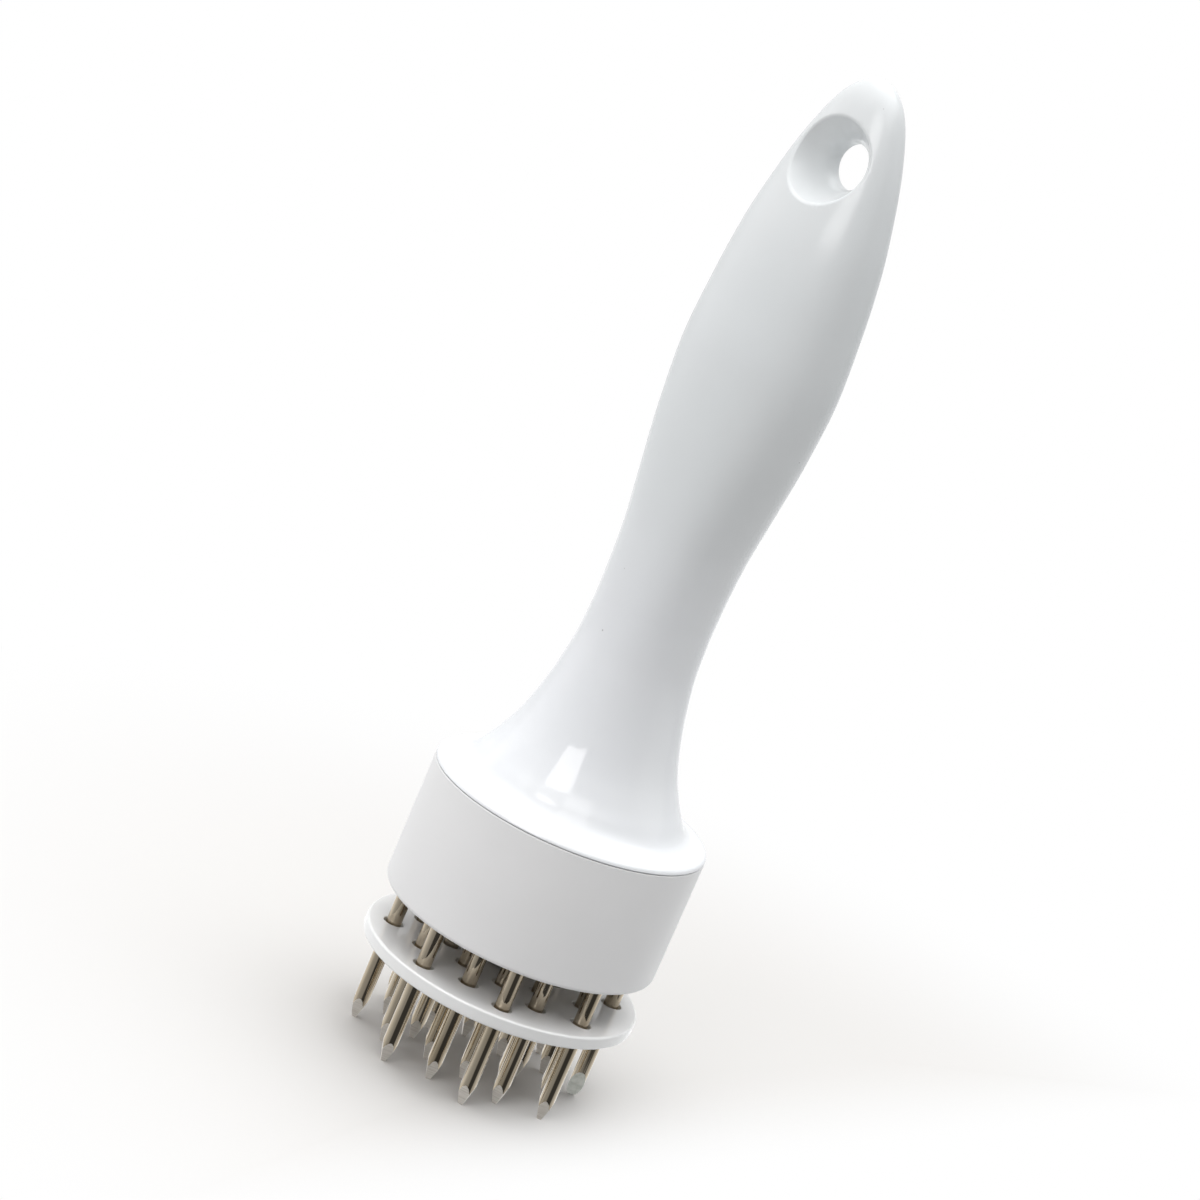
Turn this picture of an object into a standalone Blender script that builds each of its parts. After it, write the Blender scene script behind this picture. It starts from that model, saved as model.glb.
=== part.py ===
"""A hand-held needle meat tenderizer, standing upright on its needles.

The needles hang from a carrier inside a round collar, which the flared foot of the
handle closes. A guard plate slides up the needles against a hidden return spring.

Frame: metres, +Z up the handle, origin at the centre of the circle of needle tips.
The hang hole runs along Y. The grip is widest along X.
"""

import math

import bmesh
import bpy
from mathutils import Matrix, Vector

MM = 0.001

# Clearances and cutters
SEAT_GAP = 0.3 * MM
CUT_OVERRUN = 1.0 * MM

# Needles: three rings around the axis, each with the same number of needles
NEEDLES_PER_RING = 8
NEEDLE_RADIUS = 1.5 * MM
NEEDLE_REACH = 29.5 * MM
NEEDLE_HEAD_RADIUS = 1.9 * MM
NEEDLE_HEAD_HEIGHT = 1.2 * MM
TIP_HALF_WIDTH = 0.45 * MM
TIP_ANGLE = math.radians(14.0)
TIP_FACETS = 4
TIP_TURN = math.radians(137.5)
# The outer ring stands this far inside the carrier's edge
OUTER_RING_INSET = 2.8 * MM
INNER_RING_SHARE = 0.4736
# Ring name, share of the outer ring's radius, share of the spacing that it is turned by
RING_SHARES = (
    ("outer", 1.0, 0.0),
    ("middle", 0.7897, 0.5),
    ("inner", INNER_RING_SHARE, 0.0),
)

# Collar
COLLAR_RADIUS = 27.5 * MM
COLLAR_HEIGHT = 25.5 * MM
COLLAR_WALL = 2.0 * MM
COLLAR_ROUND = 0.9 * MM
COLLAR_TOP_ROUND = 0.35 * MM
LEDGE_WIDTH = 1.6 * MM
LEDGE_HEIGHT = 1.6 * MM

# Needle carrier and the plate that clamps the needle heads
RIM_RECESS = 2.0 * MM
CARRIER_HEIGHT = 4.0 * MM
CLAMP_HEIGHT = 1.6 * MM

# Carrier screws: the carrier keeps this wall between their heads and the needle heads
SCREW_COUNT = 4
HEAD_WALL = 0.9 * MM
SCREW_SHANK_SHARE = 0.52
SCREW_LENGTH = 15.0 * MM
SCREW_HEAD_HEIGHT = 1.8 * MM
DRIVE_RADIUS = 1.2 * MM
DRIVE_DEPTH = 1.0 * MM

# Guard plate, its stem and its fasteners
GUARD_TRAVEL = 8.5 * MM
GUARD_HEIGHT = 2.7 * MM
GUARD_LIP = 0.15 * MM
GUARD_ROUND = 0.9 * MM
GUARD_HOLE_CLEARANCE = 0.5 * MM
STEM_RADIUS = 3.8 * MM
STEM_SCREW_RADIUS = 1.4 * MM
STEM_SCREW_GRIP = 6.0 * MM
STEM_SCREW_HEAD_RADIUS = 3.0 * MM
STEM_SCREW_HEAD_HEIGHT = 1.7 * MM
WASHER_RADIUS = 6.5 * MM
WASHER_HEIGHT = 1.2 * MM

# Return spring and its seat
SPRING_WIRE_RADIUS = 0.6 * MM
SPRING_RADIUS = 4.6 * MM
SPRING_LENGTH = 26.0 * MM
SPRING_TURNS = 8
SPRING_SEAT_HEIGHT = 0.8 * MM

# Handle: the foot that closes the collar, the flare and the grip
HANDLE_LENGTH = 147.3 * MM
SPIGOT_WALL = 2.4 * MM
ROOF_WALL = 1.8 * MM
BOSS_RADIUS = 3.4 * MM
FOOT_ROUND = 1.0 * MM
FLARE_HEIGHT = 39.0 * MM
NECK_HALF_WIDTH = 10.9 * MM
NECK_HALF_DEPTH = 11.0 * MM
GRIP_HALF_WIDTH = 16.2 * MM
GRIP_HALF_DEPTH = 12.0 * MM
# The outline |x|^power + |y|^power = 1: a circle at the foot, squarer along the grip
CIRCLE_POWER = 2.0
GRIP_POWER = 2.4
# Share of the flare's height, share of the way from the neck out to the foot's flat
FLARE_SHARES = (
    (0.0, 1.0),
    (0.006, 0.955),
    (0.016, 0.868),
    (0.028, 0.780),
    (0.046, 0.712),
    (0.074, 0.652),
    (0.113, 0.590),
    (0.159, 0.515),
    (0.21, 0.443),
    (0.287, 0.346),
    (0.385, 0.254),
    (0.508, 0.165),
    (0.651, 0.087),
    (0.815, 0.026),
    (1.0, 0.0),
)
# Share of the grip's length, shares of the way from the neck to the full width and depth
SWELL_SHARES = (
    (0.0, 0.0, 0.0),
    (0.06, 0.03, 0.0),
    (0.134, 0.13, 0.1),
    (0.23, 0.425, 0.52),
    (0.36, 0.825, 0.88),
    (0.47, 1.0, 1.0),
)
# Share of the grip's length, shares of its full width and depth, up to the tip
TAPER_SHARES = (
    (0.60, 0.962, 0.92),
    (0.70, 0.90, 0.81),
    (0.79, 0.798, 0.65),
    (0.85, 0.704, 0.54),
    (0.90, 0.593, 0.45),
    (0.955, 0.424, 0.32),
    (1.0, 0.0, 0.0),
)

# Hang hole: its neck lies behind the middle of the grip and opens out to both faces
HOLE_DROP = 16.6 * MM
HOLE_NECK_RADIUS = 4.4 * MM
HOLE_NECK_SETBACK = 0.9 * MM
HOLE_NECK_LENGTH = 2.5 * MM
HOLE_FRONT_ANGLE = math.radians(26.0)
HOLE_BACK_ANGLE = math.radians(30.0)

# Facets of the round pieces
ROUND_SIDES = 48
HANDLE_SIDES = 40
BORE_SIDES = 16
NEEDLE_SIDES = 12
ROUND_STEPS = 3
GRIP_RINGS = 24
SPRING_POINTS = 10
SHARP_ANGLE = math.radians(35.0)

# Places that follow from the sizes above
CARRIER_RADIUS = COLLAR_RADIUS - COLLAR_WALL - SEAT_GAP
CARRIER_LOW = NEEDLE_REACH + RIM_RECESS
CARRIER_TOP = CARRIER_LOW + CARRIER_HEIGHT
CLAMP_LOW = CARRIER_TOP + SEAT_GAP
CLAMP_TOP = CLAMP_LOW + CLAMP_HEIGHT
LEDGE_LOW = CLAMP_TOP + SEAT_GAP
LEDGE_TOP = LEDGE_LOW + LEDGE_HEIGHT
SPIGOT_LOW = LEDGE_TOP + SEAT_GAP
COLLAR_TOP = NEEDLE_REACH + COLLAR_HEIGHT
HANDLE_LOW = COLLAR_TOP + SEAT_GAP
HANDLE_TOP = HANDLE_LOW + HANDLE_LENGTH
FLARE_LOW = HANDLE_LOW + FOOT_ROUND
FLARE_TOP = FLARE_LOW + FLARE_HEIGHT
FLAT_RADIUS = COLLAR_RADIUS - FOOT_ROUND
CAVITY_TOP = FLARE_LOW - ROOF_WALL
GUARD_TOP = NEEDLE_REACH - SEAT_GAP - GUARD_TRAVEL
GUARD_LOW = GUARD_TOP - GUARD_HEIGHT
STEM_LOW = GUARD_TOP + SEAT_GAP
STEM_TOP = CLAMP_TOP
WASHER_LOW = CLAMP_TOP + SEAT_GAP
WASHER_TOP = WASHER_LOW + WASHER_HEIGHT
SPRING_LOW = WASHER_TOP + SEAT_GAP
SPRING_TOP = SPRING_LOW + SPRING_LENGTH
SEAT_LOW = SPRING_TOP + SEAT_GAP
SEAT_TOP = SEAT_LOW + SPRING_SEAT_HEIGHT
SEAT_RADIUS = SPRING_RADIUS + SPRING_WIRE_RADIUS
POCKET_RADIUS = SEAT_RADIUS + 2 * SEAT_GAP
POCKET_TOP = SEAT_TOP + SEAT_GAP
OUTER_RING_RADIUS = CARRIER_RADIUS - OUTER_RING_INSET
SCREW_CIRCLE = OUTER_RING_RADIUS * (1 + INNER_RING_SHARE) / 2
SCREW_ROOM = OUTER_RING_RADIUS - SCREW_CIRCLE
SCREW_HEAD_RADIUS = SCREW_ROOM - NEEDLE_HEAD_RADIUS - HEAD_WALL - 2 * SEAT_GAP
SCREW_RADIUS = SCREW_HEAD_RADIUS * SCREW_SHANK_SHARE
HOLE_HEIGHT = HANDLE_TOP - HOLE_DROP


def clear_scene():
    for old in list(bpy.data.objects):
        bpy.data.objects.remove(old, do_unlink=True)


def finish(name, colour, roughness, metallic):
    """A plain material with one colour."""
    made = bpy.data.materials.new(name)
    made.use_nodes = True
    shader = made.node_tree.nodes["Principled BSDF"]
    shader.inputs["Base Color"].default_value = (*colour, 1.0)
    shader.inputs["Roughness"].default_value = roughness
    shader.inputs["Metallic"].default_value = metallic
    made.diffuse_color = (*colour, 1.0)
    return made


def add_object(name, mesh, material=None, at=(0.0, 0.0, 0.0), turn=0.0, parent=None):
    """An object of the mesh, turned about its own upright axis."""
    piece = bpy.data.objects.new(name, mesh)
    bpy.context.collection.objects.link(piece)
    if material is not None and not mesh.materials:
        mesh.materials.append(material)
    piece.location = at
    piece.rotation_euler.z = turn
    piece.parent = parent
    return piece


def mesh_from(bm, name):
    """Close the mesh up, turn its faces outwards and shade its round faces smooth."""
    bmesh.ops.remove_doubles(bm, verts=bm.verts, dist=SEAT_GAP / ROUND_SIDES)
    bmesh.ops.holes_fill(bm, edges=bm.edges, sides=0)
    bmesh.ops.recalc_face_normals(bm, faces=bm.faces)
    mesh = bpy.data.meshes.new(name)
    bm.to_mesh(mesh)
    bm.free()
    mesh.shade_smooth()
    mesh.set_sharp_from_angle(angle=SHARP_ANGLE)
    return mesh


def turned(name, outline, sides):
    """A solid turned about Z from (radius, height) points, flat where they stop short of Z."""
    bm = bmesh.new()
    points = [bm.verts.new((radius, 0.0, height)) for radius, height in outline]
    edges = [bm.edges.new(pair) for pair in zip(points, points[1:])]
    bmesh.ops.spin(
        bm, geom=points + edges, axis=(0, 0, 1), cent=(0, 0, 0),
        angle=2 * math.pi, steps=sides, use_merge=True,
    )
    return mesh_from(bm, name)


def ring_turned(name, outline, sides):
    """A turned ring: its outline closes on itself away from the axis."""
    return turned(name, [*outline, outline[0]], sides)


def arc(centre, radius, start, end):
    """Points of a quarter round between two angles, in the plane of an outline."""
    steps = [start + (end - start) * step / ROUND_STEPS for step in range(ROUND_STEPS + 1)]
    return [
        (centre[0] + radius * math.cos(angle), centre[1] + radius * math.sin(angle))
        for angle in steps
    ]


def flats_out(radius, sides):
    """The corner radius of a many-sided hole whose flats stand at the radius."""
    return radius / math.cos(math.pi / sides)


def pins(name, places, radius, low, high, sides=BORE_SIDES):
    """One mesh of upright cylinders, one at each place."""
    bm = bmesh.new()
    for x, y in places:
        bmesh.ops.create_cone(
            bm, cap_ends=True, segments=sides, radius1=radius, radius2=radius,
            depth=high - low, matrix=Matrix.Translation((x, y, (low + high) / 2)),
        )
    return mesh_from(bm, name)


def guide(name, mesh):
    """An object that only cuts or joins another one."""
    made = add_object(name, mesh)
    made.hide_render = True
    made.display_type = "WIRE"
    return made


def combine(piece, other, operation):
    step = piece.modifiers.new(other.name, "BOOLEAN")
    step.operation = operation
    step.solver = "EXACT"
    step.object = other


def around(radius, count, turn=0.0):
    """Places spaced evenly on a circle."""
    spacing = 2 * math.pi / count
    angles = [turn + spacing * step for step in range(count)]
    return [(radius * math.cos(angle), radius * math.sin(angle)) for angle in angles]


def needle_rings():
    """Each ring's name with the places of its needles."""
    spacing = 2 * math.pi / NEEDLES_PER_RING
    return [
        (name, around(OUTER_RING_RADIUS * radius_share, NEEDLES_PER_RING, spacing * turn_share))
        for name, radius_share, turn_share in RING_SHARES
    ]


def needle_places():
    return [place for _, places in needle_rings() for place in places]


def screw_places():
    """The carrier screws stand midway between the needles of the outer and inner rings."""
    return around(SCREW_CIRCLE, SCREW_COUNT)


def smooth_through(points, share):
    """A value on the smooth curve through (share, value) points, without overshoot."""
    slopes = [
        (after[1] - before[1]) / (after[0] - before[0])
        for before, after in zip(points, points[1:])
    ]
    tangents = [slopes[0]]
    for before, after in zip(slopes, slopes[1:]):
        level = before * after <= 0.0
        tangents.append(0.0 if level else 2 * before * after / (before + after))
    tangents.append(slopes[-1])
    last = len(points) - 2
    place = min(last, sum(1 for point in points[1:] if point[0] < share))
    start, end = points[place], points[place + 1]
    width = end[0] - start[0]
    part = (share - start[0]) / width
    value = start[1] * (1 + 2 * part) * (1 - part) ** 2
    value += width * tangents[place] * part * (1 - part) ** 2
    value += end[1] * part**2 * (3 - 2 * part)
    value += width * tangents[place + 1] * part**2 * (part - 1)
    return value


def round_section(radius, height):
    """A section's half width, half depth, power and height, where the handle is round."""
    return radius, radius, CIRCLE_POWER, height


def foot_sections():
    """The round spigot that enters the collar, then the rounded rim that stands on it."""
    spigot = [round_section(CARRIER_RADIUS, height) for height in (SPIGOT_LOW, HANDLE_LOW)]
    rim = arc((FLAT_RADIUS, HANDLE_LOW), FOOT_ROUND, 0.0, math.pi / 2)
    return spigot + [round_section(*point) for point in rim[:-1]]


def flare_section(share):
    out = smooth_through(FLARE_SHARES, share)
    width = NECK_HALF_WIDTH + (FLAT_RADIUS - NECK_HALF_WIDTH) * out
    depth = NECK_HALF_DEPTH + (FLAT_RADIUS - NECK_HALF_DEPTH) * out
    power = CIRCLE_POWER + (GRIP_POWER - CIRCLE_POWER) * share
    return width, depth, power, FLARE_LOW + FLARE_HEIGHT * share


def grip_half(neck, full, column, share):
    """Half the grip's width or depth, smoothed in squares so that the tip closes round."""
    swell = [(row[0], neck + (full - neck) * row[column]) for row in SWELL_SHARES]
    taper = [(row[0], full * row[column]) for row in TAPER_SHARES]
    squares = [(place, half**2) for place, half in swell + taper]
    return math.sqrt(smooth_through(squares, share))


def grip_section(share):
    width = grip_half(NECK_HALF_WIDTH, GRIP_HALF_WIDTH, 1, share)
    depth = grip_half(NECK_HALF_DEPTH, GRIP_HALF_DEPTH, 2, share)
    return width, depth, GRIP_POWER, FLARE_TOP + (HANDLE_TOP - FLARE_TOP) * share


def handle_sections():
    """The handle's sections from its spigot up to the last ring under the tip."""
    flare = [flare_section(row[0]) for row in FLARE_SHARES[:-1]]
    steps = [math.sin(math.pi / 2 * ring / GRIP_RINGS) for ring in range(GRIP_RINGS)]
    return foot_sections() + flare + [grip_section(share) for share in steps]


def squared_off(value, power):
    return math.copysign(abs(value) ** (CIRCLE_POWER / power), value)


def oval(bm, width, depth, power, height):
    ring = []
    for side in range(HANDLE_SIDES):
        angle = 2 * math.pi * side / HANDLE_SIDES
        x = width * squared_off(math.cos(angle), power)
        y = depth * squared_off(math.sin(angle), power)
        ring.append(bm.verts.new((x, y, height)))
    return ring


def handle_body():
    """The outside of the handle, closed at the spigot's foot and at the tip."""
    bm = bmesh.new()
    rings = [oval(bm, *section) for section in handle_sections()]
    for low, high in zip(rings, rings[1:]):
        for side in range(HANDLE_SIDES):
            after = (side + 1) % HANDLE_SIDES
            bm.faces.new((low[side], low[after], high[after], high[side]))
    bm.faces.new(rings[0][::-1])
    tip = bm.verts.new((0.0, 0.0, HANDLE_TOP))
    for side in range(HANDLE_SIDES):
        bm.faces.new((rings[-1][side], rings[-1][(side + 1) % HANDLE_SIDES], tip))
    return mesh_from(bm, "handle")


def hollow_cutter():
    """The hollow of the handle's foot with the spring's pocket above it."""
    inside = CARRIER_RADIUS - SPIGOT_WALL
    outline = [
        (0.0, SPIGOT_LOW - CUT_OVERRUN),
        (inside, SPIGOT_LOW - CUT_OVERRUN),
        (inside, CAVITY_TOP),
        (POCKET_RADIUS, CAVITY_TOP),
        (POCKET_RADIUS, POCKET_TOP),
        (0.0, POCKET_TOP),
    ]
    return turned("foot_hollow", outline, HANDLE_SIDES)


def hang_hole_cutter():
    """The hang hole lying along Y, from its front mouth through its neck to the back."""
    reach = GRIP_HALF_DEPTH + CUT_OVERRUN
    neck_back = HOLE_NECK_SETBACK + HOLE_NECK_LENGTH
    front = HOLE_NECK_RADIUS + (HOLE_NECK_SETBACK + reach) * math.tan(HOLE_FRONT_ANGLE)
    back = HOLE_NECK_RADIUS + (reach - neck_back) * math.tan(HOLE_BACK_ANGLE)
    outline = [
        (0.0, -reach),
        (front, -reach),
        (HOLE_NECK_RADIUS, HOLE_NECK_SETBACK),
        (HOLE_NECK_RADIUS, neck_back),
        (back, reach),
        (0.0, reach),
    ]
    mesh = turned("hang_hole", outline, HANDLE_SIDES)
    lay_along_y = Matrix.Rotation(-math.pi / 2, 4, "X")
    mesh.transform(Matrix.Translation((0.0, 0.0, HOLE_HEIGHT)) @ lay_along_y)
    return mesh


def add_handle(plastic):
    handle = add_object("handle", handle_body(), plastic)
    combine(handle, guide("foot_hollow", hollow_cutter()), "DIFFERENCE")
    boss_top = CAVITY_TOP + CUT_OVERRUN
    bosses = pins("bosses", screw_places(), BOSS_RADIUS, LEDGE_LOW, boss_top)
    combine(handle, guide("bosses", bosses), "UNION")
    pilot = flats_out(SCREW_RADIUS + SEAT_GAP, BORE_SIDES)
    pilot_top = screw_tip() + SEAT_GAP
    holes = pins("pilot_holes", screw_places(), pilot, LEDGE_LOW - CUT_OVERRUN, pilot_top)
    combine(handle, guide("pilot_holes", holes), "DIFFERENCE")
    combine(handle, guide("hang_hole", hang_hole_cutter()), "DIFFERENCE")


def add_collar(plastic):
    """The round sleeve, with the ledge inside it that the carrier pulls up against."""
    inside = COLLAR_RADIUS - COLLAR_WALL
    foot = (COLLAR_RADIUS - COLLAR_ROUND, NEEDLE_REACH + COLLAR_ROUND)
    head = (COLLAR_RADIUS - COLLAR_TOP_ROUND, COLLAR_TOP - COLLAR_TOP_ROUND)
    outline = [
        (inside, NEEDLE_REACH),
        *arc(foot, COLLAR_ROUND, -math.pi / 2, 0.0),
        *arc(head, COLLAR_TOP_ROUND, 0.0, math.pi / 2),
        (inside, COLLAR_TOP),
        (inside, LEDGE_TOP),
        (inside - LEDGE_WIDTH, LEDGE_TOP),
        (inside - LEDGE_WIDTH, LEDGE_LOW),
        (inside, LEDGE_LOW),
    ]
    add_object("collar", ring_turned("collar", outline, ROUND_SIDES), plastic)


def head_low():
    """The height of the underside of the needle heads, which lie flush in the carrier."""
    return CARRIER_TOP - NEEDLE_HEAD_HEIGHT


def screw_tip():
    return CARRIER_LOW + SEAT_GAP + SCREW_HEAD_HEIGHT + SCREW_LENGTH


def drill(piece, name, places, radius, low, high):
    """Cut straight holes, clear of a round pin of the given radius by the seat gap."""
    opened = flats_out(radius + SEAT_GAP, NEEDLE_SIDES)
    cutter = pins(name, places, opened, low, high, NEEDLE_SIDES)
    combine(piece, guide(name, cutter), "DIFFERENCE")


def add_carrier(plastic):
    """The thick plate that the needles hang from, with recesses for all the heads."""
    outline = [(CARRIER_RADIUS, CARRIER_LOW), (CARRIER_RADIUS, CARRIER_TOP)]
    carrier = add_object("needle_carrier", turned("needle_carrier", outline, ROUND_SIDES), plastic)
    below = CARRIER_LOW - CUT_OVERRUN
    above = CARRIER_TOP + CUT_OVERRUN
    recess = CARRIER_LOW + SCREW_HEAD_HEIGHT + 2 * SEAT_GAP
    drill(carrier, "needle_bores", needle_places(), NEEDLE_RADIUS, below, above)
    drill(carrier, "head_bores", needle_places(), NEEDLE_HEAD_RADIUS, head_low() - SEAT_GAP, above)
    drill(carrier, "screw_bores", screw_places(), SCREW_RADIUS, below, above)
    drill(carrier, "screw_recesses", screw_places(), SCREW_HEAD_RADIUS, below, recess)
    drill(carrier, "stem_bore", [(0.0, 0.0)], STEM_RADIUS, below, above)


def add_clamp_plate(steel):
    outline = [(CARRIER_RADIUS, CLAMP_LOW), (CARRIER_RADIUS, CLAMP_TOP)]
    plate = add_object("clamp_plate", turned("clamp_plate", outline, ROUND_SIDES), steel)
    below = CLAMP_LOW - CUT_OVERRUN
    above = CLAMP_TOP + CUT_OVERRUN
    drill(plate, "clamp_screw_bores", screw_places(), SCREW_RADIUS, below, above)
    drill(plate, "clamp_stem_bore", [(0.0, 0.0)], STEM_RADIUS, below, above)


def needle_mesh():
    """A headed pin, ground to a blunt point by flat facets."""
    bm = bmesh.new()
    outline = [
        (0.0, 0.0),
        (NEEDLE_RADIUS, 0.0),
        (NEEDLE_RADIUS, head_low()),
        (NEEDLE_HEAD_RADIUS, head_low()),
        (NEEDLE_HEAD_RADIUS, CARRIER_TOP),
        (0.0, CARRIER_TOP),
    ]
    bm.from_mesh(turned("needle", outline, NEEDLE_SIDES))
    for facet in range(TIP_FACETS):
        side = 2 * math.pi * facet / TIP_FACETS
        out = Vector((math.cos(side), math.sin(side), 0.0))
        normal = out * math.cos(TIP_ANGLE) - Vector((0.0, 0.0, math.sin(TIP_ANGLE)))
        parts = [*bm.verts, *bm.edges, *bm.faces]
        cut = bmesh.ops.bisect_plane(
            bm, geom=parts, plane_co=out * TIP_HALF_WIDTH, plane_no=normal, clear_outer=True
        )
        edges = [part for part in cut["geom_cut"] if isinstance(part, bmesh.types.BMEdge)]
        bmesh.ops.edgeloop_fill(bm, edges=edges)
    return mesh_from(bm, "needle")


def add_needles(steel):
    """The needles share one mesh, and each is turned about itself by a further step."""
    mesh = needle_mesh()
    order = 0
    for ring, places in needle_rings():
        for number, (x, y) in enumerate(places, 1):
            add_object(f"needle_{ring}_{number}", mesh, steel, (x, y, 0.0), order * TIP_TURN)
            order += 1


def screw_outline(radius, length, head_radius, head_height):
    """A pan-head screw standing on its head, with a round drive recess."""
    return [
        (0.0, DRIVE_DEPTH),
        (DRIVE_RADIUS, DRIVE_DEPTH),
        (DRIVE_RADIUS, 0.0),
        (head_radius, 0.0),
        (head_radius, head_height),
        (radius, head_height),
        (radius, head_height + length - radius),
        (0.0, head_height + length),
    ]


def add_carrier_screws(steel):
    """The identical screws that pull the carrier up against the handle's bosses."""
    outline = screw_outline(SCREW_RADIUS, SCREW_LENGTH, SCREW_HEAD_RADIUS, SCREW_HEAD_HEIGHT)
    mesh = turned("carrier_screw", outline, NEEDLE_SIDES)
    for number, (x, y) in enumerate(screw_places(), 1):
        add_object(f"carrier_screw_{number}", mesh, steel, (x, y, CARRIER_LOW + SEAT_GAP))


def add_guard_plate(plastic, slider):
    """The plate that lies on the meat, with a loose hole around each needle."""
    radius = COLLAR_RADIUS + GUARD_LIP
    low = (radius - GUARD_ROUND, GUARD_LOW + GUARD_ROUND)
    high = (radius - GUARD_ROUND, GUARD_TOP - GUARD_ROUND)
    outline = [
        *arc(low, GUARD_ROUND, -math.pi / 2, 0.0),
        *arc(high, GUARD_ROUND, 0.0, math.pi / 2),
    ]
    plate = add_object("guard_plate", turned("guard_plate", outline, ROUND_SIDES), plastic)
    plate.parent = slider
    below = GUARD_LOW - CUT_OVERRUN
    above = GUARD_TOP + CUT_OVERRUN
    loose = NEEDLE_RADIUS + GUARD_HOLE_CLEARANCE - SEAT_GAP
    recess = GUARD_LOW + STEM_SCREW_HEAD_HEIGHT + 2 * SEAT_GAP
    drill(plate, "guard_needle_holes", needle_places(), loose, below, above)
    drill(plate, "guard_screw_hole", [(0.0, 0.0)], STEM_SCREW_RADIUS, below, above)
    drill(plate, "guard_screw_recess", [(0.0, 0.0)], STEM_SCREW_HEAD_RADIUS, below, recess)


def add_guide_stem(steel, slider):
    """The rod that joins the guard plate to its stop washer, drilled at both ends."""
    bore = flats_out(STEM_SCREW_RADIUS + SEAT_GAP, BORE_SIDES)
    depth = STEM_SCREW_GRIP + SEAT_GAP
    outline = [
        (0.0, STEM_LOW + depth),
        (bore, STEM_LOW + depth),
        (bore, STEM_LOW),
        (STEM_RADIUS, STEM_LOW),
        (STEM_RADIUS, STEM_TOP),
        (bore, STEM_TOP),
        (bore, STEM_TOP - depth),
        (0.0, STEM_TOP - depth),
    ]
    add_object("guide_stem", turned("guide_stem", outline, BORE_SIDES), steel, parent=slider)


def add_stem_screws(steel, slider):
    """One screw up through the guard plate, and one down through the stop washer."""
    head = (STEM_SCREW_HEAD_RADIUS, STEM_SCREW_HEAD_HEIGHT)
    low = GUARD_LOW + SEAT_GAP
    length = STEM_LOW + STEM_SCREW_GRIP - low - STEM_SCREW_HEAD_HEIGHT
    up = turned("guard_screw", screw_outline(STEM_SCREW_RADIUS, length, *head), NEEDLE_SIDES)
    add_object("guard_screw", up, steel, (0.0, 0.0, low), parent=slider)
    high = WASHER_TOP + SEAT_GAP + STEM_SCREW_HEAD_HEIGHT
    length = high - STEM_SCREW_HEAD_HEIGHT - STEM_TOP + STEM_SCREW_GRIP
    down = turned("stem_screw", screw_outline(STEM_SCREW_RADIUS, length, *head), NEEDLE_SIDES)
    down.transform(Matrix.Rotation(math.pi, 4, "X"))
    add_object("stem_screw", down, steel, (0.0, 0.0, high), parent=slider)


def add_stop_washer(steel, slider):
    """The washer that stops the guard plate from dropping off and carries the spring."""
    bore = flats_out(STEM_SCREW_RADIUS + SEAT_GAP, BORE_SIDES)
    outline = [
        (bore, WASHER_LOW),
        (WASHER_RADIUS, WASHER_LOW),
        (WASHER_RADIUS, WASHER_TOP),
        (bore, WASHER_TOP),
    ]
    washer = ring_turned("stop_washer", outline, BORE_SIDES)
    add_object("stop_washer", washer, steel, parent=slider)


def add_spring_seat(steel):
    outline = [
        (SPRING_RADIUS - 2 * SPRING_WIRE_RADIUS, SEAT_LOW),
        (SEAT_RADIUS, SEAT_LOW),
        (SEAT_RADIUS, SEAT_TOP),
        (SPRING_RADIUS - 2 * SPRING_WIRE_RADIUS, SEAT_TOP),
    ]
    add_object("spring_seat", ring_turned("spring_seat", outline, BORE_SIDES), steel)


def add_return_spring(steel):
    """An open coil from the stop washer up to the seat in the handle."""
    curve = bpy.data.curves.new("return_spring", "CURVE")
    curve.dimensions = "3D"
    curve.bevel_depth = SPRING_WIRE_RADIUS
    curve.bevel_resolution = 1
    curve.use_fill_caps = True
    count = SPRING_TURNS * SPRING_POINTS
    rise = SPRING_LENGTH - 2 * SPRING_WIRE_RADIUS
    line = curve.splines.new("POLY")
    line.points.add(count)
    for step, point in enumerate(line.points):
        angle = 2 * math.pi * step / SPRING_POINTS
        x, y = SPRING_RADIUS * math.cos(angle), SPRING_RADIUS * math.sin(angle)
        point.co = (x, y, SPRING_WIRE_RADIUS + rise * step / count, 1.0)
    add_object("return_spring", curve, steel, (0.0, 0.0, SPRING_LOW))
    print("spring: gap between coils", rise / SPRING_TURNS - 2 * SPRING_WIRE_RADIUS)


def build():
    clear_scene()
    handle_white = finish("handle_plastic", (0.84, 0.86, 0.88), 0.2, 0.0)
    collar_white = finish("collar_plastic", (0.82, 0.82, 0.83), 0.45, 0.0)
    guard_white = finish("guard_plastic", (0.86, 0.87, 0.88), 0.15, 0.0)
    carrier_white = finish("carrier_plastic", (0.80, 0.80, 0.79), 0.4, 0.0)
    needle_steel = finish("needle_steel", (0.62, 0.57, 0.50), 0.2, 1.0)
    plated_steel = finish("plated_steel", (0.66, 0.66, 0.65), 0.3, 1.0)
    spring_steel = finish("spring_steel", (0.45, 0.45, 0.46), 0.3, 1.0)

    slider = bpy.data.objects.new("guard_slider", None)
    bpy.context.collection.objects.link(slider)

    add_handle(handle_white)
    add_collar(collar_white)
    add_carrier(carrier_white)
    add_clamp_plate(plated_steel)
    add_needles(needle_steel)
    add_carrier_screws(plated_steel)
    add_guard_plate(guard_white, slider)
    add_guide_stem(plated_steel, slider)
    add_stem_screws(plated_steel, slider)
    add_stop_washer(plated_steel, slider)
    add_spring_seat(plated_steel)
    add_return_spring(spring_steel)


build()
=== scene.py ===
import bisect
import math

import bpy
from mathutils import Matrix, Vector


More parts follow.
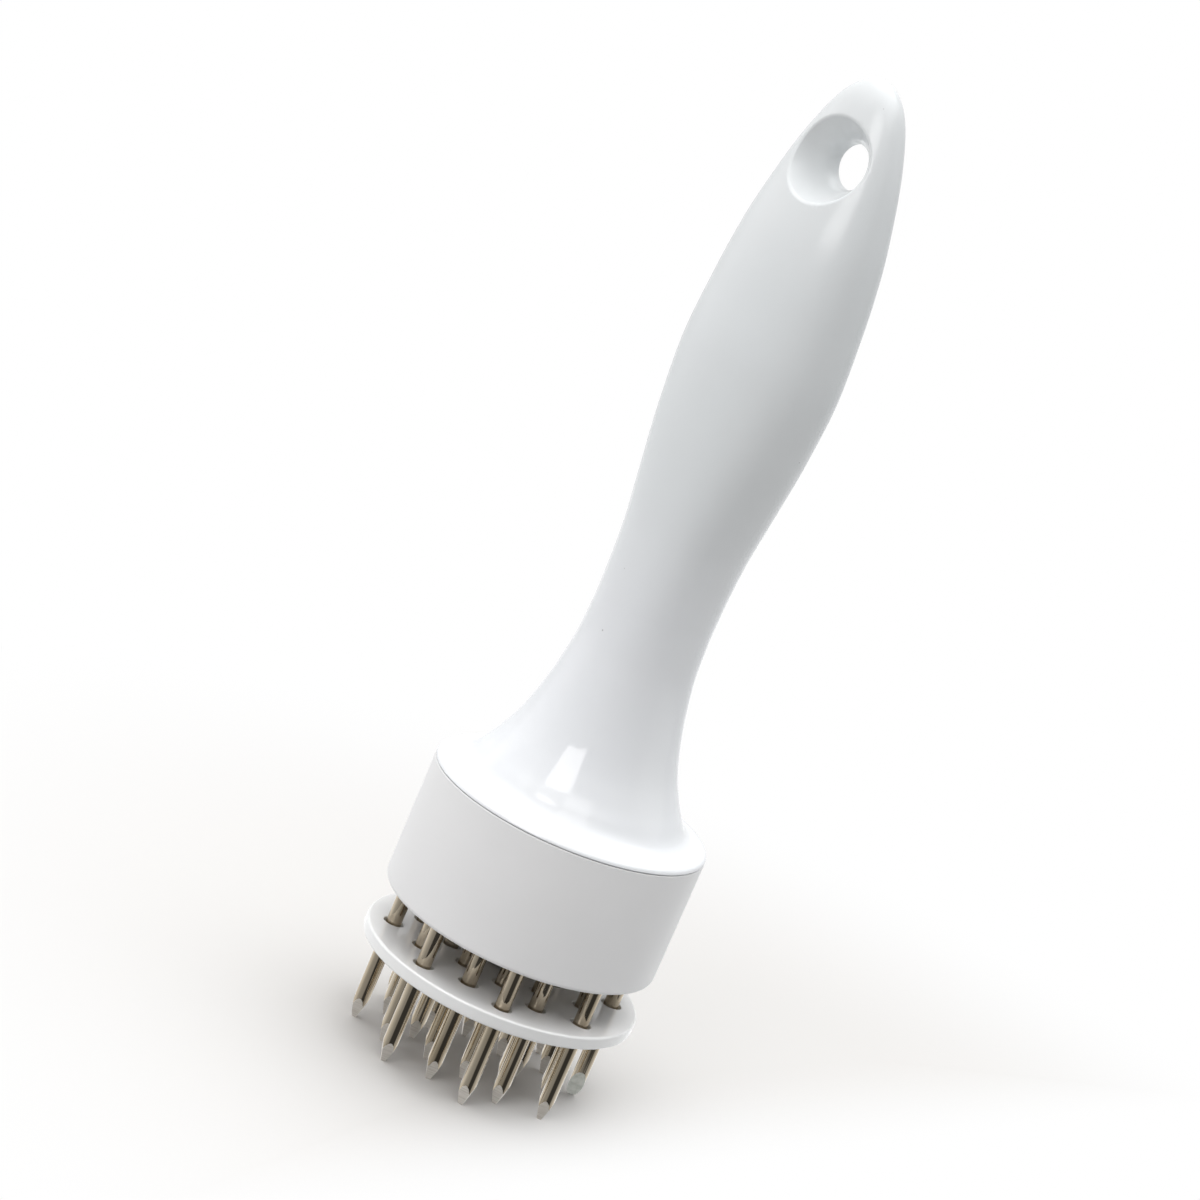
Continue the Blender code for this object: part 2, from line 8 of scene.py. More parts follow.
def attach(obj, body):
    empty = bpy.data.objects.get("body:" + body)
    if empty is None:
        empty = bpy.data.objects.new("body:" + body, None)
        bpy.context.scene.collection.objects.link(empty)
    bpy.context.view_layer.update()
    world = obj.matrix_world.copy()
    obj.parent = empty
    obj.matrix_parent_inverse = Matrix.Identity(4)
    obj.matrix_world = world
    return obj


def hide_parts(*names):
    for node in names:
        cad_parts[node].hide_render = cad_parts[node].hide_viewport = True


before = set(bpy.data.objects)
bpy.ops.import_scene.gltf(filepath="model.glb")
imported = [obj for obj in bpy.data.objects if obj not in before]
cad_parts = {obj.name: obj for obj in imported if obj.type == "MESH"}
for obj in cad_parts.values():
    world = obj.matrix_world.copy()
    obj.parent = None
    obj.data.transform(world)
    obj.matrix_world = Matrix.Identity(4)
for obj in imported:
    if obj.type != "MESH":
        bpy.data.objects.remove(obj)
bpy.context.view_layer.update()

# The look of a needle meat tenderizer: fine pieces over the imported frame, their
# finishes, and the floor, light and camera of a plain white studio.

MM = 0.001

# The camera stands at this turn around the tenderizer
CAMERA_TURN = math.radians(37.1)
CAMERA_TILT = math.radians(19.15)
CAMERA_ROLL = math.radians(23.4)
CAMERA_DISTANCE = 670.2 * MM
PHOTO_SIZE = 1200
FOCAL_PIXELS = 3500
SENSOR_WIDTH = 36.0
# Where the middle of the collar's lower rim stands in the photograph
RIM_PIXEL = (520.4, 922.8)
CLIP_START = 10 * MM

# Sides of the turned pieces
HANDLE_SIDES = 112
ROUND_SIDES = 128
HANG_HOLE_SIDES = 96
NEEDLE_SIDES = 40
BOSS_SIDES = 32
PILOT_SIDES = 24
# How far a cutting or joined solid reaches past the face that it meets
SPARE = 1.0 * MM
# Edges that are sharper than this are rounded off
ROUNDED_ANGLE = math.radians(30.0)

# Collar
COLLAR_RADIUS = 27.5 * MM
COLLAR_LOW = 29.5 * MM
COLLAR_TOP = 55.05 * MM
COLLAR_BORE = 25.5 * MM
COLLAR_ROUND = 0.9 * MM
COLLAR_TOP_ROUND = 0.2 * MM
COLLAR_INNER_ROUND = 0.3 * MM
LEDGE_RADIUS = 23.9 * MM
LEDGE_LOW = 37.7 * MM
LEDGE_TOP = 39.3 * MM

# Handle
FOOT_LOW = 55.2 * MM
FOOT_ROUND = 1.0 * MM
FOOT_ROUND_START = 18
FOOT_EDGE = 0.15 * MM
FLAT_RADIUS = 26.5 * MM
SPIGOT_RADIUS = 25.2 * MM
SPIGOT_LOW = 39.6 * MM
HOLLOW_RADIUS = 22.8 * MM
HOLLOW_TOP = 54.5 * MM
POCKET_RADIUS = 5.8 * MM
POCKET_TOP = 66.6 * MM
BOSS_RADIUS = 3.4 * MM
PILOT_RADIUS = 1.6 * MM
PILOT_TOP = 48.9 * MM
SCREW_CIRCLE = 16.5 * MM
FLARE_LOW = 56.3 * MM
FLARE_TOP = 95.3 * MM
HANDLE_TOP = 202.6 * MM
TIP_POINT = 0.02 * MM
NECK_HALF_WIDTH = 10.9 * MM
NECK_HALF_DEPTH = 11.0 * MM
GRIP_HALF_WIDTH = 16.2 * MM
GRIP_HALF_DEPTH = 12.0 * MM
CIRCLE_POWER = 2.0
GRIP_POWER = 2.4
# Share of the flare's height, share of the way from the neck out to the foot
FLARE_SHARES = (
    (0.0, 1.0), (0.006, 0.955), (0.016, 0.868), (0.028, 0.780), (0.046, 0.712),
    (0.074, 0.652), (0.113, 0.590), (0.159, 0.515), (0.21, 0.443), (0.287, 0.346),
    (0.385, 0.254), (0.508, 0.165), (0.651, 0.087), (0.815, 0.026), (1.0, 0.0),
)
# Share of the grip's length, shares of the way to its full width and depth
SWELL_SHARES = (
    (0.0, 0.0, 0.0), (0.06, 0.03, 0.0), (0.134, 0.13, 0.1), (0.23, 0.425, 0.52),
    (0.36, 0.825, 0.88), (0.47, 1.0, 1.0),
)
# Share of the grip's length, shares of its full width and depth, up to the tip
TAPER_SHARES = (
    (0.60, 0.962, 0.92), (0.70, 0.90, 0.81), (0.79, 0.798, 0.65), (0.85, 0.704, 0.54),
    (0.90, 0.593, 0.45), (0.955, 0.424, 0.32), (1.0, 0.0, 0.0),
)
# Steps in each gap of the flare's table, even steps up the whole grip, how many of those
# are used, and steps from there to the tip, which close up towards it
FLARE_STEPS = 3
GRIP_STEPS = 80
EVEN_STEPS = 68
TIP_STEPS = 26
# A vertex belongs to a section when it is this close to its height and to its circle
HEIGHT_SLACK = 0.002 * MM
REACH_SLACK = 0.01 * MM

# Hang hole
HOLE_HEIGHT = 186.0 * MM
HOLE_NECK_RADIUS = 4.4 * MM
HOLE_NECK_FRONT = 0.9 * MM
HOLE_NECK_BACK = 3.4 * MM
HOLE_FRONT_LIP = 8.6 * MM
HOLE_BACK_LIP = 7.1 * MM
HOLE_LIP_ROUND = 1.0 * MM
LIP_SLOPE = math.radians(15.0)
# First guess of the mouths' slope, which their depth is worked out with
FIRST_SLOPE = math.radians(27.0)
MOUTH_STEPS = 5
LIP_STEPS = 8
# How far a mouth's outline runs on past its lip, and how far the hole's solid reaches
LIP_RUN = 1.2 * MM
HOLE_REACH = 16 * MM
# The mouths bend with the grip's faces, by this power of the way from neck to lip
BEND_POWER = 1.5

# Painted shade: the grip is painted greyer than the foot, standing for the dimmer light on it,
# and goes over to it between these heights, where it also turns rougher
GRIP_SHADE_HEIGHTS = (85 * MM, 130 * MM)

# Guard plate
GUARD_RADIUS = 27.65 * MM
GUARD_LOW = 18.0 * MM
GUARD_TOP = 20.7 * MM
GUARD_ROUND = 0.5 * MM
GUARD_HOLE_RADIUS = 2.0 * MM
GUARD_HOLE_ROUND = 0.3 * MM
# A needle hole's edge turns out by this many degrees and then runs on in a shallow slope
HOLE_EDGE_TURN = 75
HOLE_EDGE_STEPS = 5
HOLE_EDGE_RUN = 0.4 * MM
SCREW_HOLE_RADIUS = 1.7 * MM
SCREW_RECESS_RADIUS = 3.3 * MM
SCREW_RECESS_TOP = 20.3 * MM

# Needles: name, radius and turn of each ring, the turn in shares of the needles' spacing
RING_RADII = (("outer", 22.4 * MM, 0.0), ("middle", 17.69 * MM, 0.5), ("inner", 10.61 * MM, 0.0))
NEEDLES_PER_RING = 8
NEEDLE_RADIUS = 1.5 * MM
NEEDLE_HEAD_RADIUS = 1.9 * MM
NEEDLE_HEAD_LOW = 34.3 * MM
NEEDLE_TOP = 35.5 * MM
NEEDLE_HEAD_CHAMFER = 0.15 * MM
NEEDLE_EDGE_ROUND = 0.05 * MM
TIP_HALF_WIDTH = 0.45 * MM
TIP_ANGLE = math.radians(14.0)
TIP_FACETS = 4
# One facet of each needle faces the front, turned up to this far to either side
TIP_TURN = math.radians(12)
TIP_TURN_STEP = 2.4
# Upward part of the normals of the ground facets
GROUND_NORMALS = (-0.5, -0.05)
# One needle is ground to a long bevel: turn, half width at the tip, slope of each facet
BEVELLED_NEEDLE = "needle_outer_2"
BEVEL_ROWS = ((math.radians(-46), -1.35 * MM, math.radians(25.5)),)

# Nodes of plated steel that are hidden inside
PLATED_NODES = (
    *(f"carrier_screw_{number}" for number in range(1, 5)),
    "clamp_plate", "spring_seat", "guide_stem", "guard_screw", "stop_washer", "stem_screw",
)

# Studio: angles in degrees, counted from the camera's right around the object
FLOOR_SIZE = 6.0
FLOOR_ROUGHNESS = 0.9
FLOOR_COLOUR = (0.625, 0.61, 0.595)
FLOOR_BOUNCE = (0.36, 0.36, 0.36)
# The floor turns plain white over this reach around the patch where it shows its lit shading, and
# over this distance towards the front right, where the plain white is painted light laid over the
# object's shadow
FLOOR_FADE = (0.07, 0.2)
FLOOR_PATCH = (30, 0.055)
FLOOR_FRONT = (-35, 0.012, 0.045)
SKY_COLOUR = (0.985, 0.995, 1.0)
SKY_RISE = 0.88
BRIGHT_SIDE = 100
BRIGHT_SIDE_RISE = 0.1
# The card's angle, its drop below level, where it fades in and how much light it takes
DARK_CARD = -60
DARK_CARD_DROP = -0.33
DARK_CARD_EDGE = (0.8, 0.9)
DARK_CARD_DEPTH = 0.85
ZENITH_EDGE = (0.6, 0.92)
ZENITH_LEVEL = 2.0
GROUND_EDGE = (0.1, 0.35)
GROUND_LEVEL = 0.4
LAMP_TARGET = 80 * MM
# Name, angle around, angle above, reach, width and height of the panel, watts, colour
LAMPS = (
    ("softbox", -117, 31, 0.84, 0.42, 0.33, 1.9, (1.0, 0.985, 0.98)),
    ("front_high", -82, 48, 1.1, 0.5, 0.27, 0.55, (1.0, 1.0, 1.0)),
    ("left_bank", 172, 6, 1.1, 0.9, 0.6, 0.85, (1.0, 0.97, 0.97)),
    ("right_bank", 10, 12, 1.1, 0.7, 0.6, 0.4, (1.0, 1.0, 1.0)),
    ("left_high", -170, 50, 1.1, 0.6, 0.6, 0.65, (1.0, 0.99, 1.0)),
)


# Modelling helpers


def deselect():
    bpy.ops.object.select_all(action="DESELECT")


def only(piece):
    """Select one piece and make it active."""
    deselect()
    piece.select_set(True)
    bpy.context.view_layer.objects.active = piece


def settle(piece):
    """Put the piece's place into its mesh."""
    only(piece)
    bpy.ops.object.transform_apply(location=True, rotation=True, scale=True)
    return piece


def turned(name, outline, sides, ring=False):
    """A circle extruded from point to point of a (radius, height) outline."""
    deselect()
    radius, height = outline[0]
    bpy.ops.mesh.primitive_circle_add(vertices=sides, radius=radius, location=(0, 0, height))
    piece = bpy.context.object
    piece.name = piece.data.name = name
    bpy.ops.object.mode_set(mode="EDIT")
    bpy.ops.mesh.select_mode(type="EDGE")
    bpy.ops.mesh.select_all(action="SELECT")
    for (last, low), (following, high) in zip(outline, outline[1:]):
        bpy.ops.mesh.extrude_region_move(TRANSFORM_OT_translate={"value": (0, 0, high - low)})
        share = following / last
        bpy.ops.transform.resize(value=(share, share, 1), center_override=(0, 0, high))
    bpy.ops.mesh.select_all(action="DESELECT")
    bpy.ops.mesh.select_non_manifold()
    if ring:
        bpy.ops.mesh.bridge_edge_loops()
    else:
        bpy.ops.mesh.fill_holes(sides=0)
    face_out()
    bpy.ops.object.mode_set(mode="OBJECT")
    return settle(piece)


def face_out():
    bpy.ops.mesh.select_all(action="SELECT")
    bpy.ops.mesh.normals_make_consistent(inside=False)


def arc(centre, radius, start, end, steps):
    """Points of a round from one angle to another, in degrees."""
    angles = [math.radians(start + (end - start) * step / steps) for step in range(steps + 1)]
    x, y = centre
    return [(x + radius * math.cos(angle), y + radius * math.sin(angle)) for angle in angles]


def combine(piece, other, operation):
    """Cut or join another solid, which is used up."""
    only(piece)
    step = piece.modifiers.new(other.name, "BOOLEAN")
    step.operation = operation
    step.solver = "EXACT"
    step.object = other
    bpy.ops.object.modifier_apply(modifier=step.name)
    bpy.data.objects.remove(other, do_unlink=True)


def round_off(piece, width, segments):
    only(piece)
    step = piece.modifiers.new("rounded_edges", "BEVEL")
    step.width = width
    step.segments = segments
    step.limit_method = "ANGLE"
    step.angle_limit = ROUNDED_ANGLE
    bpy.ops.object.modifier_apply(modifier=step.name)


def shade(piece, angle=35.0):
    only(piece)
    bpy.ops.object.shade_smooth_by_angle(angle=math.radians(angle))
    step = piece.modifiers.new("weighted_normals", "WEIGHTED_NORMAL")
    step.keep_sharp = True
    bpy.ops.object.modifier_apply(modifier=step.name)


def copy_of(piece, name):
    made = piece.copy()
    made.data = piece.data.copy()
    made.name = made.data.name = name
    bpy.context.collection.objects.link(made)
    return made


def copies_at(piece, places):
    """The piece repeated at each place and joined into one object."""
    made = []
    for number, (x, y) in enumerate(places):
        one = copy_of(piece, f"{piece.name}_{number}")
        one.location = (x, y, 0)
        made.append(one)
    bpy.data.objects.remove(piece, do_unlink=True)
    deselect()
    for one in made:
        one.select_set(True)
    bpy.context.view_layer.objects.active = made[0]
    bpy.ops.object.join()
    return settle(bpy.context.object)


def around(radius, count, turn=0.0):
    spacing = 2 * math.pi / count
    angles = [turn + spacing * step for step in range(count)]
    return [(radius * math.cos(angle), radius * math.sin(angle)) for angle in angles]


def needle_rings():
    spacing = 2 * math.pi / NEEDLES_PER_RING
    return [
        (name, around(radius, NEEDLES_PER_RING, spacing * turn))
        for name, radius, turn in RING_RADII
    ]


def dress(piece, finishes, body, slot, *nodes):
    """Give a finished piece its finishes and its body, and hide the nodes that it stands for."""
    piece.data.materials.clear()
    for finish in finishes:
        piece.data.materials.append(finish)
    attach(piece, body)
    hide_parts(*nodes)
    return piece


# Handle


def smooth_through(points, share):
    """A value on the smooth curve through (share, value) points, without overshoot."""
    slopes = [
        (after[1] - before[1]) / (after[0] - before[0])
        for before, after in zip(points, points[1:])
    ]
    tangents = [slopes[0]]
    for before, after in zip(slopes, slopes[1:]):
        level = before * after <= 0.0
        tangents.append(0.0 if level else 2 * before * after / (before + after))
    tangents.append(slopes[-1])
    last = len(points) - 2
    place = min(last, sum(1 for point in points[1:] if point[0] < share))
    start, end = points[place], points[place + 1]
    width = end[0] - start[0]
    part = (share - start[0]) / width
    value = start[1] * (1 + 2 * part) * (1 - part) ** 2
    value += width * tangents[place] * part * (1 - part) ** 2
    value += end[1] * part**2 * (3 - 2 * part)
    value += width * tangents[place + 1] * part**2 * (part - 1)
    return value


def flare_section(share):
    """Half width, half depth, power and height of the flare's outline."""
    out = smooth_through(FLARE_SHARES, share)
    width = NECK_HALF_WIDTH + (FLAT_RADIUS - NECK_HALF_WIDTH) * out
    depth = NECK_HALF_DEPTH + (FLAT_RADIUS - NECK_HALF_DEPTH) * out
    power = CIRCLE_POWER + (GRIP_POWER - CIRCLE_POWER) * share
    return width, depth, power, FLARE_LOW + (FLARE_TOP - FLARE_LOW) * share


def grip_half(neck, full, column, share):
    swell = [(row[0], neck + (full - neck) * row[column]) for row in SWELL_SHARES]
    taper = [(row[0], full * row[column]) for row in TAPER_SHARES]
    squares = [(place, half**2) for place, half in swell + taper]
    return math.sqrt(max(0.0, smooth_through(squares, share)))


def grip_section(share):
    width = grip_half(NECK_HALF_WIDTH, GRIP_HALF_WIDTH, 1, share)
    depth = grip_half(NECK_HALF_DEPTH, GRIP_HALF_DEPTH, 2, share)
    return width, depth, GRIP_POWER, FLARE_TOP + (HANDLE_TOP - FLARE_TOP) * share


def between(shares, steps):
    """Each gap between neighbouring shares in equal steps."""
    made = []
    for low, high in zip(shares, shares[1:]):
        made += [low + (high - low) * step / steps for step in range(steps)]
    return made


def handle_sections():
    shares = between([row[0] for row in FLARE_SHARES], FLARE_STEPS)
    flare = [flare_section(share) for share in shares]
    even = [grip_section(step / GRIP_STEPS) for step in range(EVEN_STEPS)]
    last = EVEN_STEPS / GRIP_STEPS
    close = [math.sin(math.pi / 2 * step / TIP_STEPS) for step in range(TIP_STEPS)]
    tip = [grip_section(last + (1 - last) * share) for share in close]
    return [*flare, *even, *tip, (TIP_POINT, TIP_POINT, GRIP_POWER, HANDLE_TOP)]


def handle_outline():
    """From the spring's pocket down through the hollow foot and up the outside."""
    edge = (FLAT_RADIUS + FOOT_ROUND - FOOT_EDGE, FOOT_LOW + FOOT_EDGE)
    foot = arc((FLAT_RADIUS, FOOT_LOW), FOOT_ROUND, FOOT_ROUND_START, 90, 6)
    outside = [(section[0], section[3]) for section in handle_sections()]
    return [
        (POCKET_RADIUS, POCKET_TOP),
        (POCKET_RADIUS, HOLLOW_TOP),
        (HOLLOW_RADIUS, HOLLOW_TOP),
        (HOLLOW_RADIUS, SPIGOT_LOW),
        (SPIGOT_RADIUS, SPIGOT_LOW),
        (SPIGOT_RADIUS, FOOT_LOW),
        *arc(edge, FOOT_EDGE, -90, 0, 3),
        *foot[:-1],
        *outside,
    ]


def square_off(piece, sections):
    """Give each ring of the handle its own depth and its squarer outline."""
    heights = [section[3] for section in sections]
    for vertex in piece.data.vertices:
        place = min(bisect.bisect(heights, vertex.co.z), len(heights) - 1)
        ring = min(place, max(place - 1, 0), key=lambda ring: abs(heights[ring] - vertex.co.z))
        width, depth, power, height = sections[ring]
        reach = math.hypot(vertex.co.x, vertex.co.y)
        if abs(height - vertex.co.z) < HEIGHT_SLACK and abs(reach - width) < REACH_SLACK:
            across, along = vertex.co.x / width, vertex.co.y / width
            vertex.co.x = width * math.copysign(abs(across) ** (2 / power), across)
            vertex.co.y = depth * math.copysign(abs(along) ** (2 / power), along)


def grip_depth(x, z):
    """How far the grip's face stands from the middle, at a place on it."""
    share = min(1.0, max(0.0, (z - FLARE_TOP) / (HANDLE_TOP - FLARE_TOP)))
    width, depth, power, _ = grip_section(share)
    inside = max(0.0, 1 - min(1.0, abs(x) / max(width, MM)) ** power)
    return depth * inside ** (1 / power)


def mouth(neck, lip, side):
    """Outline of one mouth of the hang hole: from its neck over its rounded lip."""
    face = grip_depth(0.0, HOLE_HEIGHT)
    start = lip - HOLE_LIP_ROUND * (math.cos(FIRST_SLOPE) - math.sin(LIP_SLOPE))
    inner = face - HOLE_LIP_ROUND * (math.cos(LIP_SLOPE) - math.sin(FIRST_SLOPE))
    slope = math.atan2(start - HOLE_NECK_RADIUS, inner - neck)
    start = lip - HOLE_LIP_ROUND * (math.cos(slope) - math.sin(LIP_SLOPE))
    rows = [(HOLE_NECK_RADIUS, neck)]
    for step in range(1, MOUTH_STEPS):
        part = step / MOUTH_STEPS
        radius = HOLE_NECK_RADIUS + (start - HOLE_NECK_RADIUS) * part
        rows.append((radius, neck + (inner - neck) * part))
    for step in range(LIP_STEPS + 1):
        lean = slope + (math.pi / 2 - LIP_SLOPE - slope) * step / LIP_STEPS
        rows.append((
            start + HOLE_LIP_ROUND * (math.cos(slope) - math.cos(lean)),
            inner + HOLE_LIP_ROUND * (math.sin(lean) - math.sin(slope)),
        ))
    rows.append((lip + LIP_RUN, rows[-1][1] + LIP_RUN * math.tan(LIP_SLOPE)))
    return [(radius, side * away) for radius, away in rows]


def hang_hole():
    """The hole's solid: its mouths follow the curved faces of the grip."""
    front = mouth(-HOLE_NECK_FRONT, HOLE_FRONT_LIP, -1)
    back = mouth(HOLE_NECK_BACK, HOLE_BACK_LIP, 1)
    outline = [(front[-1][0], -HOLE_REACH), *front[::-1], *back, (back[-1][0], HOLE_REACH)]
    hole = turned("hang_hole", outline, HANG_HOLE_SIDES)
    lay = Matrix.Translation((0, 0, HOLE_HEIGHT)) @ Matrix.Rotation(-math.pi / 2, 4, "X")
    hole.data.transform(lay)
    face = grip_depth(0.0, HOLE_HEIGHT)
    for vertex in hole.data.vertices:
        radius = math.hypot(vertex.co.x, vertex.co.z - HOLE_HEIGHT)
        front_side = vertex.co.y < HOLE_NECK_FRONT
        lip = HOLE_FRONT_LIP if front_side else HOLE_BACK_LIP
        part = (radius - HOLE_NECK_RADIUS) / (lip - HOLE_LIP_ROUND - HOLE_NECK_RADIUS)
        if abs(vertex.co.y) < HOLE_REACH - MM:
            bend = min(1.0, max(0.0, part)) ** BEND_POWER
            shift = (grip_depth(vertex.co.x, vertex.co.z) - face) * bend
            vertex.co.y += -shift if front_side else shift
    return hole


def add_handle(plastic):
    handle = turned("tenderizer_handle", handle_outline(), HANDLE_SIDES)
    square_off(handle, handle_sections())
    places = around(SCREW_CIRCLE, 4)
    outline = [(BOSS_RADIUS, LEDGE_LOW), (BOSS_RADIUS, HOLLOW_TOP + SPARE)]
    combine(handle, copies_at(turned("boss", outline, BOSS_SIDES), places), "UNION")
    outline = [(PILOT_RADIUS, LEDGE_LOW - SPARE), (PILOT_RADIUS, PILOT_TOP)]
    combine(handle, copies_at(turned("pilot", outline, PILOT_SIDES), places), "DIFFERENCE")
    combine(handle, hang_hole(), "DIFFERENCE")
    shade(handle, angle=32.0)
    return dress(handle, [plastic], "handle_body", "handle_plastic", "handle")


# Collar


def add_collar(plastic):
    low = (COLLAR_RADIUS - COLLAR_ROUND, COLLAR_LOW + COLLAR_ROUND)
    high = (COLLAR_RADIUS - COLLAR_TOP_ROUND, COLLAR_TOP - COLLAR_TOP_ROUND)
    inner = (COLLAR_BORE + COLLAR_INNER_ROUND, COLLAR_LOW + COLLAR_INNER_ROUND)
    outline = [
        *arc(inner, COLLAR_INNER_ROUND, 180, 270, 3),
        *arc(low, COLLAR_ROUND, -90, 0, 8),
        *arc(high, COLLAR_TOP_ROUND, 0, 90, 5),
        (COLLAR_BORE, COLLAR_TOP),
        (COLLAR_BORE, LEDGE_TOP),
        (LEDGE_RADIUS, LEDGE_TOP),
        (LEDGE_RADIUS, LEDGE_LOW),
        (COLLAR_BORE, LEDGE_LOW),
    ]
    collar = turned("head_collar", outline, ROUND_SIDES, ring=True)
    shade(collar)
    return dress(collar, [plastic], "handle_body", "collar_plastic", "collar")


# Guard plate


def eased_pin(name, radius, rounding, sides):
    """A pin whose ends flare where it leaves the plate's two faces."""
    steps = range(HOLE_EDGE_STEPS + 1)
    rise = [math.radians(HOLE_EDGE_TURN * step / HOLE_EDGE_STEPS) for step in steps]
    flare = [(radius + rounding * (1 - math.cos(a)), rounding * math.sin(a)) for a in rise]
    top = [(wide, GUARD_TOP - rounding * math.sin(rise[-1]) + up) for wide, up in flare]
    run = HOLE_EDGE_RUN
    top.append((flare[-1][0] + run, GUARD_TOP + run * math.tan(LIP_SLOPE)))
    middle = (GUARD_LOW + GUARD_TOP) / 2
    bottom = [(wide, 2 * middle - height) for wide, height in top[::-1]]
    start, end = (bottom[0][0], GUARD_LOW - SPARE), (top[-1][0], GUARD_TOP + SPARE)
    return turned(name, [start, *bottom, *top, end], sides)


def add_guard_plate(plastic):
    low = (GUARD_RADIUS - GUARD_ROUND, GUARD_LOW + GUARD_ROUND)
    high = (GUARD_RADIUS - GUARD_ROUND, GUARD_TOP - GUARD_ROUND)
    outline = [*arc(low, GUARD_ROUND, -90, 0, 8), *arc(high, GUARD_ROUND, 0, 90, 8)]
    plate = turned("sliding_guard_plate", outline, ROUND_SIDES)
    places = [place for _, ring in needle_rings() for place in ring]
    pin = eased_pin("needle_hole", GUARD_HOLE_RADIUS, GUARD_HOLE_ROUND, NEEDLE_SIDES)
    combine(plate, copies_at(pin, places), "DIFFERENCE")
    screw = [
        (SCREW_RECESS_RADIUS, GUARD_LOW - SPARE),
        (SCREW_RECESS_RADIUS, SCREW_RECESS_TOP),
        (SCREW_HOLE_RADIUS, SCREW_RECESS_TOP),
        (SCREW_HOLE_RADIUS, GUARD_TOP + SPARE),
    ]
    combine(plate, turned("screw_hole", screw, NEEDLE_SIDES), "DIFFERENCE")
    shade(plate)
    return dress(plate, [plastic], "guard_body", "guard_plastic", "guard_plate")


# Needles


def grind(needle, out, half_width, angle):
    """Cut one flat facet off the point."""
    normal = out * math.cos(angle) - Vector((0, 0, math.sin(angle)))
    only(needle)
    bpy.ops.object.mode_set(mode="EDIT")
    bpy.ops.mesh.select_all(action="SELECT")
    bpy.ops.mesh.bisect(
        plane_co=out * half_width, plane_no=normal, use_fill=True, clear_outer=True
    )
    bpy.ops.object.mode_set(mode="OBJECT")


def needle_blank():
    outline = [
        (NEEDLE_RADIUS, 0.0),
        (NEEDLE_RADIUS, NEEDLE_HEAD_LOW),
        (NEEDLE_HEAD_RADIUS, NEEDLE_HEAD_LOW),
        (NEEDLE_HEAD_RADIUS, NEEDLE_TOP - NEEDLE_HEAD_CHAMFER),
        (NEEDLE_HEAD_RADIUS - NEEDLE_HEAD_CHAMFER, NEEDLE_TOP),
    ]
    return turned("needle_blank", outline, NEEDLE_SIDES)


def ground_faces(needle):
    """The facets are flat and slope, so they take the second finish."""
    low, high = GROUND_NORMALS
    for face in needle.data.polygons:
        face.material_index = 1 if low < face.normal.z < high else 0


def add_needle(blank, name, place, facets, finishes):
    needle = copy_of(blank, f"pointed_{name}")
    for side, half_width, angle in facets:
        out = Vector((math.cos(side), math.sin(side), 0))
        grind(needle, out, half_width, angle)
    round_off(needle, NEEDLE_EDGE_ROUND, 2)
    shade(needle)
    needle.data.transform(Matrix.Translation((*place, 0)))
    dress(needle, finishes, "handle_body", "needle_steel", name)
    ground_faces(needle)


def facet_rows(turn):
    """Turn, half width at the tip and slope of a needle's four even facets."""
    spacing = 2 * math.pi / TIP_FACETS
    return [(turn + spacing * side, TIP_HALF_WIDTH, TIP_ANGLE) for side in range(TIP_FACETS)]


def add_needles(shank, facet, dull_facet):
    blank = needle_blank()
    order = 0
    for ring, places in needle_rings():
        for number, place in enumerate(places, 1):
            name = f"needle_{ring}_{number}"
            if name == BEVELLED_NEEDLE:
                add_needle(blank, name, place, BEVEL_ROWS, [shank, dull_facet])
            else:
                turn = CAMERA_TURN + TIP_TURN * math.sin(TIP_TURN_STEP * order)
                add_needle(blank, name, place, facet_rows(turn), [shank, facet])
            order += 1
    bpy.data.objects.remove(blank, do_unlink=True)


# Finishes


class Amount:
    """A number that varies over a surface. Arithmetic on it adds Math nodes."""

    def __init__(self, finish, socket):
        self.finish = finish
        self.socket = socket

    def __add__(self, other):
        return self.finish.math("ADD", self, other)

    def __mul__(self, other):
        return self.finish.math("MULTIPLY", self, other)

    def __rsub__(self, other):
        return self.finish.math("SUBTRACT", other, self)

    __radd__ = __add__


